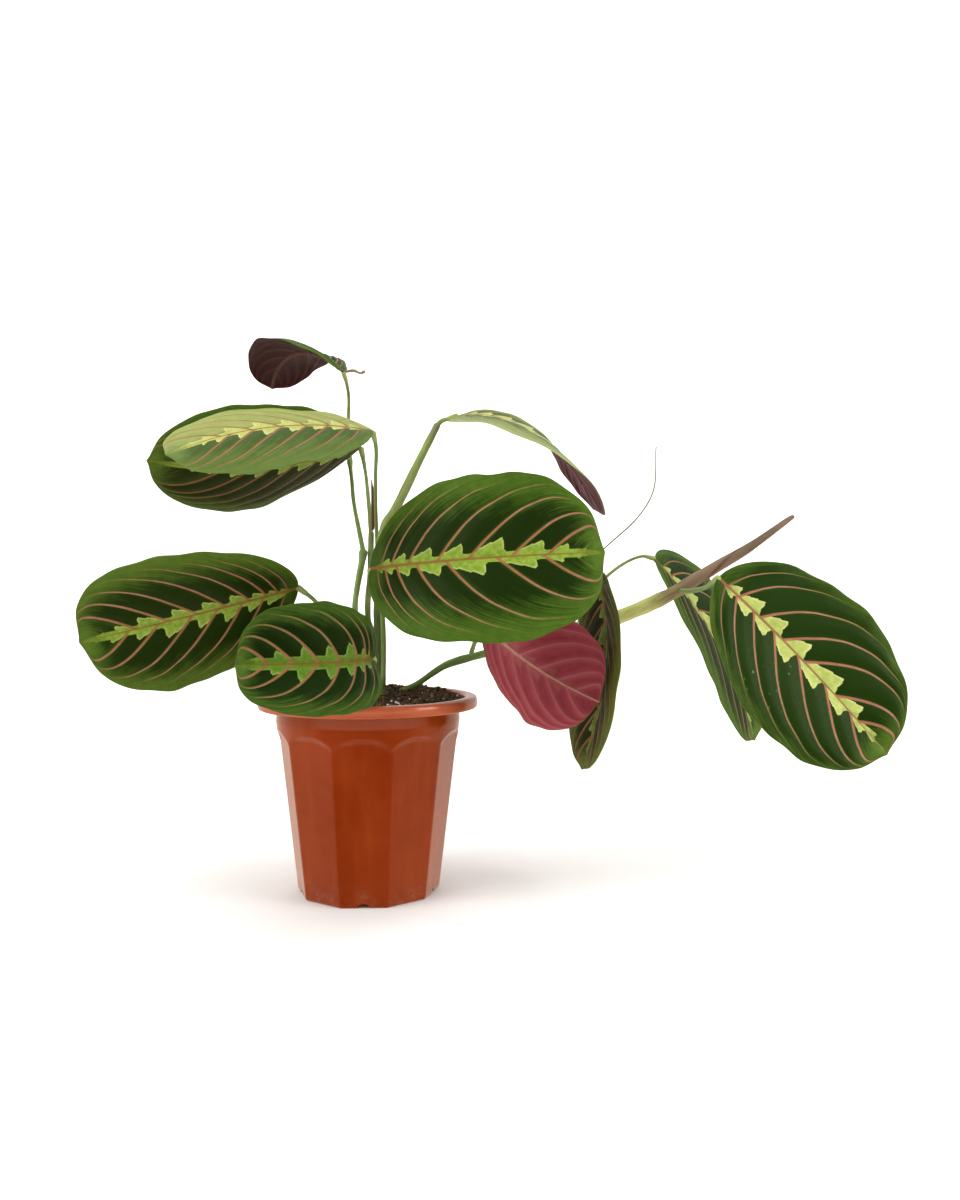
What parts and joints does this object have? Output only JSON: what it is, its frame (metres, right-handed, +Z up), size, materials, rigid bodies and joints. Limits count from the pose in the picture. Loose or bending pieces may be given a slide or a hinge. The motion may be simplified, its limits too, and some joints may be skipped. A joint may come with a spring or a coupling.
{
  "type": "potted prayer plant",
  "caption": "Live prayer plant with broad herringbone-patterned leaves on slender stalks, growing from a tapered, panel-sided plastic nursery pot full of soil.",
  "frame": {"origin": "centre of the pot's flat foot, on the plane the pot stands on", "axes": "+Z up out of the pot, +X along the widest spread of the leaves towards the long shoot with the rolled new leaf, -Y towards the side with the low front leaf"},
  "size_m": [0.4341, 0.2088, 0.3199],
  "materials": {
    "pot_plastic": "gloss",
    "potting_soil": "matte",
    "rhizome": "matte",
    "leaf_blade": "satin",
    "stem": "satin",
    "young_shoot": "satin",
    "rolled_leaf": "satin",
    "sheath": "satin",
    "dry_thread": "matte"
  },
  "bodies": {
    "root": {"pot": "pot_plastic", "potting_soil": "potting_soil", "rhizome": "rhizome", "leaf_top_left": "leaf_blade", "leaf_upper_left_back": "leaf_blade", "leaf_upper_left_front": "leaf_blade", "leaf_left": "leaf_blade", "leaf_front_low": "leaf_blade", "leaf_centre": "leaf_blade", "leaf_arching": "leaf_blade", "leaf_lower_centre": "leaf_blade", "leaf_hanging": "leaf_blade", "leaf_right_back": "leaf_blade", "leaf_right_front": "leaf_blade", "stem_left": "stem", "petiole_top_left": "stem", "stem_middle": "stem", "petiole_upper_left_back": "stem", "petiole_upper_left_front": "stem", "stem_arching": "stem", "petiole_arching": "stem", "petiole_left": "stem", "petiole_front_low": "stem", "petiole_centre": "stem", "petiole_lower_centre": "stem", "petiole_hanging": "stem", "petiole_right_back": "stem", "petiole_right_front": "stem", "shoot_right": "young_shoot", "rolled_new_leaf": "rolled_leaf", "sheath_reddish": "sheath", "flower_stalk": "dry_thread", "withered_tail": "dry_thread"}
  },
  "joints": []
}
